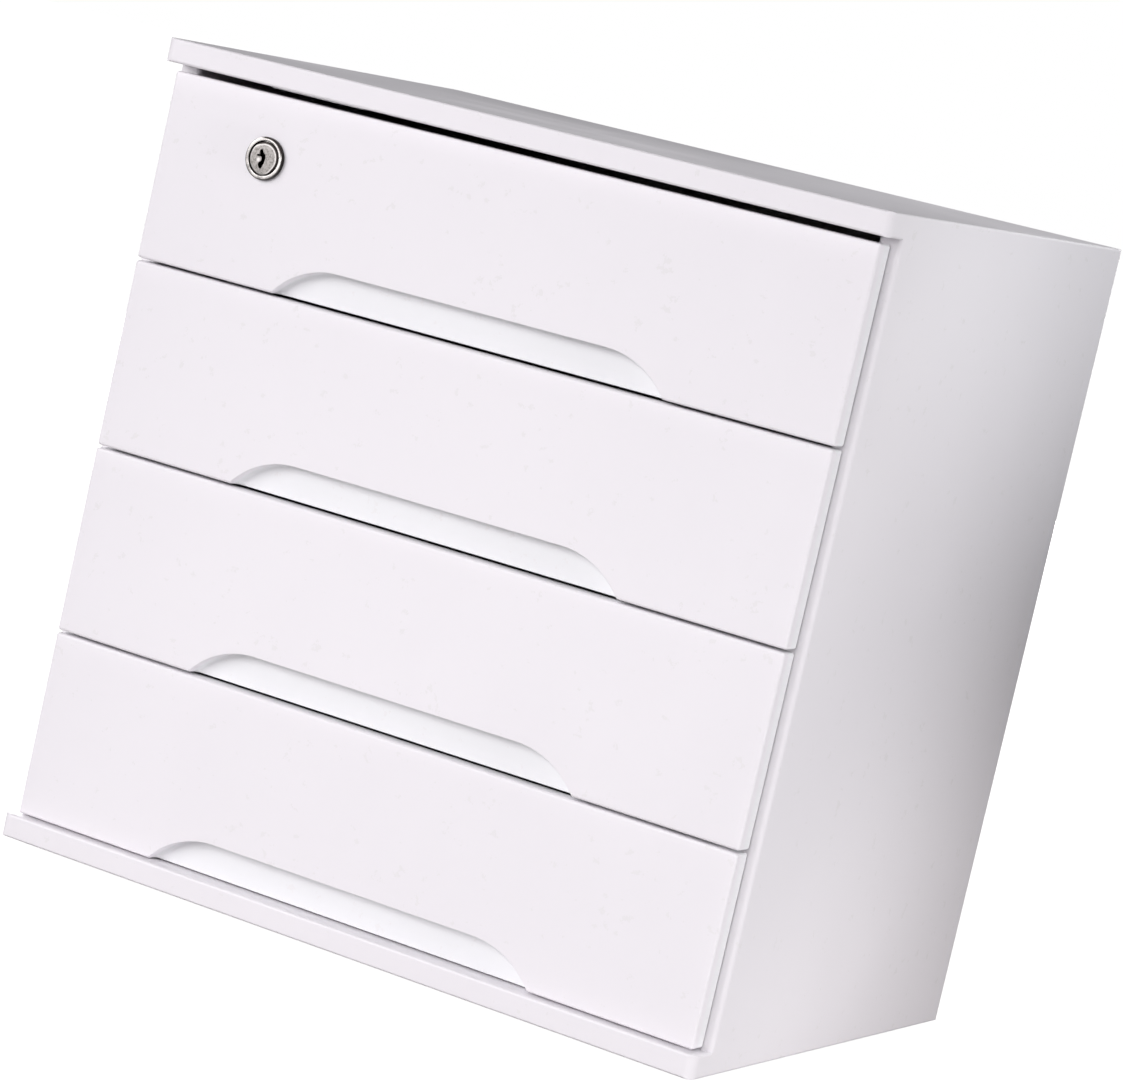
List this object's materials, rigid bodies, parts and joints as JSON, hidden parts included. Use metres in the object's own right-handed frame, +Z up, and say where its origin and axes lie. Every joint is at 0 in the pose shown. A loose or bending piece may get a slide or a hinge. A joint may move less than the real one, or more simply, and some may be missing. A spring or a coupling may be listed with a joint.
{
  "type": "desktop mini drawers",
  "caption": "White desktop cabinet with stacked sliding drawers, a routed finger pull along the bottom of each front and a small cam lock in the top drawer",
  "frame": {"origin": "middle of the footprint, on the surface that the pads stand on", "axes": "+Z up, the drawer fronts face -Y, +X to the right of someone facing the fronts"},
  "size_m": [0.34, 0.239, 0.348],
  "materials": {
    "white_board": "satin, faintly glossy white lacquered foam board",
    "inner_board": "plain white foam board with its cell grain showing faintly",
    "runner_strip": "smooth waxed strip, rubbed along its top",
    "lock_nickel": "nickel plate, finely turned, a little dulled",
    "zinc_steel": "zinc plated steel",
    "dowel_wood": "bare beech",
    "pad_rubber": "soft matt rubber"
  },
  "bodies": {
    "case": {"top_panel": "white_board", "base_panel": "white_board", "left_side_panel": "white_board", "right_side_panel": "white_board", "back_panel": "inner_board", "top_dowels": "dowel_wood", "base_screws": "zinc_steel", "back_pins": "zinc_steel", "runner_screws": "zinc_steel", "left_runner_1": "runner_strip", "left_runner_2": "runner_strip", "left_runner_3": "runner_strip", "left_runner_4": "runner_strip", "right_runner_1": "runner_strip", "right_runner_2": "runner_strip", "right_runner_3": "runner_strip", "right_runner_4": "runner_strip", "front_left_pad": "pad_rubber", "front_right_pad": "pad_rubber", "rear_left_pad": "pad_rubber", "rear_right_pad": "pad_rubber", "strike_plate": "zinc_steel", "strike_screws": "zinc_steel"},
    "drawer_1": {"drawer_1_front": "white_board", "drawer_1_box_front": "inner_board", "drawer_1_box_back": "inner_board", "drawer_1_left_side": "inner_board", "drawer_1_right_side": "inner_board", "drawer_1_floor": "inner_board", "drawer_1_screws": "zinc_steel", "lock_barrel": "lock_nickel", "lock_nut": "zinc_steel"},
    "drawer_2": {"drawer_2_front": "white_board", "drawer_2_box_front": "inner_board", "drawer_2_box_back": "inner_board", "drawer_2_left_side": "inner_board", "drawer_2_right_side": "inner_board", "drawer_2_floor": "inner_board", "drawer_2_screws": "zinc_steel"},
    "drawer_3": {"drawer_3_front": "white_board", "drawer_3_box_front": "inner_board", "drawer_3_box_back": "inner_board", "drawer_3_left_side": "inner_board", "drawer_3_right_side": "inner_board", "drawer_3_floor": "inner_board", "drawer_3_screws": "zinc_steel"},
    "drawer_4": {"drawer_4_front": "white_board", "drawer_4_box_front": "inner_board", "drawer_4_box_back": "inner_board", "drawer_4_left_side": "inner_board", "drawer_4_right_side": "inner_board", "drawer_4_floor": "inner_board", "drawer_4_screws": "zinc_steel"},
    "lock_core": {"lock_plug": "lock_nickel", "lock_cam": "zinc_steel", "lock_cam_screw": "zinc_steel"}
  },
  "joints": [
    {"name": "drawer_1_slide", "type": "slide", "parent": "case", "child": "drawer_1", "axis": [0, -1, 0], "range_m": [0, 0.165]},
    {"name": "drawer_2_slide", "type": "slide", "parent": "case", "child": "drawer_2", "axis": [0, -1, 0], "range_m": [0, 0.165]},
    {"name": "drawer_3_slide", "type": "slide", "parent": "case", "child": "drawer_3", "axis": [0, -1, 0], "range_m": [0, 0.165]},
    {"name": "drawer_4_slide", "type": "slide", "parent": "case", "child": "drawer_4", "axis": [0, -1, 0], "range_m": [0, 0.165]},
    {"name": "lock_turn", "type": "hinge", "parent": "drawer_1", "child": "lock_core", "pos_m": [-0.1132, -0.115, 0.3085], "axis": [0, -1, 0], "range_deg": [0, 90]}
  ]
}
